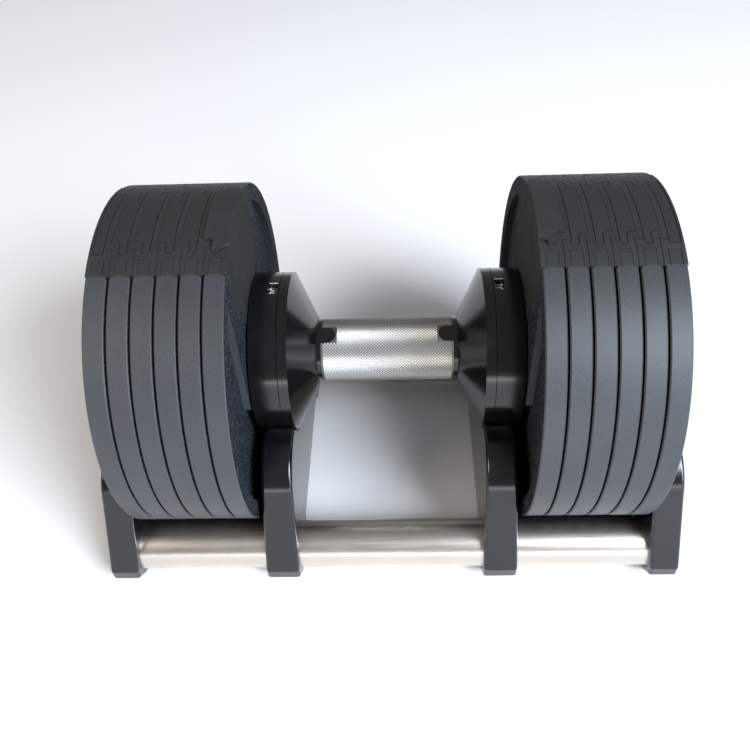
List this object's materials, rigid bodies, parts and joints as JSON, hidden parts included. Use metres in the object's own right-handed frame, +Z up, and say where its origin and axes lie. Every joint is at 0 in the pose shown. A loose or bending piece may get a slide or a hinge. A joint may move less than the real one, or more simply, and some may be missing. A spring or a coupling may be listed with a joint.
{
  "type": "adjustable dumbbell",
  "caption": "Dial-set adjustable dumbbell with interlocking round weight plates, a knurled turning grip and a tube-and-bracket cradle.",
  "frame": {"origin": "on the floor under the middle of the cradle", "axes": "+X along the dumbbell's axis, +Y towards the back of the cradle, +Z up"},
  "size_m": [0.3792, 0.22, 0.2342],
  "materials": {
    "cast_coat": "fine matt grey coat",
    "moulded_rail": "moulded nylon, matt charcoal",
    "gloss_black": "moulded, semi-gloss black",
    "cradle_black": "moulded, satin black",
    "polished_tube": "polished stainless tube",
    "knurled_steel": "bright diamond knurl",
    "plain_steel": "turned steel",
    "zinc_screw": "dark plated screw",
    "white_print": "black band with white numbers",
    "foot_rubber": "matt rubber"
  },
  "bodies": {
    "cradle": {"front_tube": "polished_tube", "rear_tube": "polished_tube", "inner_upright_left": "cradle_black", "inner_upright_right": "cradle_black", "outer_bracket_left": "cradle_black", "outer_bracket_right": "cradle_black", "plate_tray_left": "cradle_black", "plate_tray_right": "cradle_black", "tube_screws": "zinc_screw", "rubber_feet": "foot_rubber"},
    "handle": {"core_tube": "plain_steel", "end_housing_left": "gloss_black", "end_housing_right": "gloss_black", "end_key_left": "moulded_rail", "end_key_right": "moulded_rail", "key_screws": "zinc_screw"},
    "grip": {"grip_sleeve": "knurled_steel", "cam_tube": "plain_steel", "dial_left": "gloss_black", "dial_right": "gloss_black", "number_ring_left": "white_print", "number_ring_right": "white_print"},
    "rod_left": {"selector_rod_left": "plain_steel", "follower_pin_left": "plain_steel"},
    "rod_right": {"selector_rod_right": "plain_steel", "follower_pin_right": "plain_steel"},
    "pawl_left": {"lock_pawl_left": "plain_steel", "pawl_spring_left": "plain_steel"},
    "pawl_right": {"lock_pawl_right": "plain_steel", "pawl_spring_right": "plain_steel"},
    "detent_left": {"detent_plunger_left": "plain_steel", "detent_spring_left": "plain_steel"},
    "detent_right": {"detent_plunger_right": "plain_steel", "detent_spring_right": "plain_steel"},
    "weight_left_1": {"plate_left_1": "cast_coat", "rail_left_1": "moulded_rail"},
    "weight_left_2": {"plate_left_2": "cast_coat", "rail_left_2": "moulded_rail"},
    "weight_left_3": {"plate_left_3": "cast_coat", "rail_left_3": "moulded_rail"},
    "weight_left_4": {"plate_left_4": "cast_coat", "rail_left_4": "moulded_rail"},
    "weight_left_5": {"plate_left_5": "cast_coat", "rail_left_5": "moulded_rail"},
    "weight_left_6": {"plate_left_6": "cast_coat", "rail_left_6": "moulded_rail"},
    "weight_right_1": {"plate_right_1": "cast_coat", "rail_right_1": "moulded_rail"},
    "weight_right_2": {"plate_right_2": "cast_coat", "rail_right_2": "moulded_rail"},
    "weight_right_3": {"plate_right_3": "cast_coat", "rail_right_3": "moulded_rail"},
    "weight_right_4": {"plate_right_4": "cast_coat", "rail_right_4": "moulded_rail"},
    "weight_right_5": {"plate_right_5": "cast_coat", "rail_right_5": "moulded_rail"},
    "weight_right_6": {"plate_right_6": "cast_coat", "rail_right_6": "moulded_rail"}
  },
  "joints": [
    {"name": "lift", "type": "slide", "parent": "cradle", "child": "handle", "axis": [0, 0, 1], "range_m": [0, 0.25]},
    {"name": "grip_turn", "type": "hinge", "parent": "handle", "child": "grip", "pos_m": [0, 0, 0.122], "axis": [1, 0, 0], "range_deg": [0, 270]},
    {"name": "rod_left_slide", "type": "slide", "parent": "handle", "child": "rod_left", "axis": [1, 0, 0], "range_m": [0, 0.0751]},
    {"name": "rod_right_slide", "type": "slide", "parent": "handle", "child": "rod_right", "axis": [-1, 0, 0], "range_m": [0, 0.0751]},
    {"name": "pawl_left_drop", "type": "slide", "parent": "handle", "child": "pawl_left", "axis": [0, 0, -1], "range_m": [0, 0.00401], "deforming": ["pawl_spring_left"]},
    {"name": "detent_left_click", "type": "slide", "parent": "handle", "child": "detent_left", "axis": [0, 0, 1], "range_m": [-0.0009, 0.0011], "stiffness_N_per_m": 300, "deforming": ["detent_spring_left"]},
    {"name": "pawl_right_drop", "type": "slide", "parent": "handle", "child": "pawl_right", "axis": [0, 0, -1], "range_m": [0, 0.00401], "deforming": ["pawl_spring_right"]},
    {"name": "detent_right_click", "type": "slide", "parent": "handle", "child": "detent_right", "axis": [0, 0, 1], "range_m": [-0.0009, 0.0011], "stiffness_N_per_m": 300, "deforming": ["detent_spring_right"]},
    {"name": "plate_left_1_lift", "type": "slide", "parent": "cradle", "child": "weight_left_1", "axis": [0, 0, 1], "range_m": [0, 0.2501]},
    {"name": "plate_left_2_lift", "type": "slide", "parent": "cradle", "child": "weight_left_2", "axis": [0, 0, 1], "range_m": [0, 0.2501]},
    {"name": "plate_left_3_lift", "type": "slide", "parent": "cradle", "child": "weight_left_3", "axis": [0, 0, 1], "range_m": [0, 0.2501]},
    {"name": "plate_left_4_lift", "type": "slide", "parent": "cradle", "child": "weight_left_4", "axis": [0, 0, 1], "range_m": [0, 0.2501]},
    {"name": "plate_left_5_lift", "type": "slide", "parent": "cradle", "child": "weight_left_5", "axis": [0, 0, 1], "range_m": [0, 0.2501]},
    {"name": "plate_left_6_lift", "type": "slide", "parent": "cradle", "child": "weight_left_6", "axis": [0, 0, 1], "range_m": [0, 0.2501]},
    {"name": "plate_right_1_lift", "type": "slide", "parent": "cradle", "child": "weight_right_1", "axis": [0, 0, 1], "range_m": [0, 0.2501]},
    {"name": "plate_right_2_lift", "type": "slide", "parent": "cradle", "child": "weight_right_2", "axis": [0, 0, 1], "range_m": [0, 0.2501]},
    {"name": "plate_right_3_lift", "type": "slide", "parent": "cradle", "child": "weight_right_3", "axis": [0, 0, 1], "range_m": [0, 0.2501]},
    {"name": "plate_right_4_lift", "type": "slide", "parent": "cradle", "child": "weight_right_4", "axis": [0, 0, 1], "range_m": [0, 0.2501]},
    {"name": "plate_right_5_lift", "type": "slide", "parent": "cradle", "child": "weight_right_5", "axis": [0, 0, 1], "range_m": [0, 0.2501]},
    {"name": "plate_right_6_lift", "type": "slide", "parent": "cradle", "child": "weight_right_6", "axis": [0, 0, 1], "range_m": [0, 0.2501]}
  ],
  "couplings": [
    {"joint": "rod_left_slide", "follows": "grip_turn", "m_per_rad": 0.015915},
    {"joint": "rod_right_slide", "follows": "grip_turn", "m_per_rad": 0.015915},
    {"joint": "pawl_left_drop", "follows": "lift", "ratio": 0.016},
    {"joint": "pawl_right_drop", "follows": "lift", "ratio": 0.016},
    {"joint": "plate_left_1_lift", "follows": "lift", "ratio": 1},
    {"joint": "plate_left_2_lift", "follows": "lift", "ratio": 1},
    {"joint": "plate_left_3_lift", "follows": "lift", "ratio": 1},
    {"joint": "plate_left_4_lift", "follows": "lift", "ratio": 1},
    {"joint": "plate_left_5_lift", "follows": "lift", "ratio": 1},
    {"joint": "plate_left_6_lift", "follows": "lift", "ratio": 1},
    {"joint": "plate_right_1_lift", "follows": "lift", "ratio": 1},
    {"joint": "plate_right_2_lift", "follows": "lift", "ratio": 1},
    {"joint": "plate_right_3_lift", "follows": "lift", "ratio": 1},
    {"joint": "plate_right_4_lift", "follows": "lift", "ratio": 1},
    {"joint": "plate_right_5_lift", "follows": "lift", "ratio": 1},
    {"joint": "plate_right_6_lift", "follows": "lift", "ratio": 1}
  ]
}
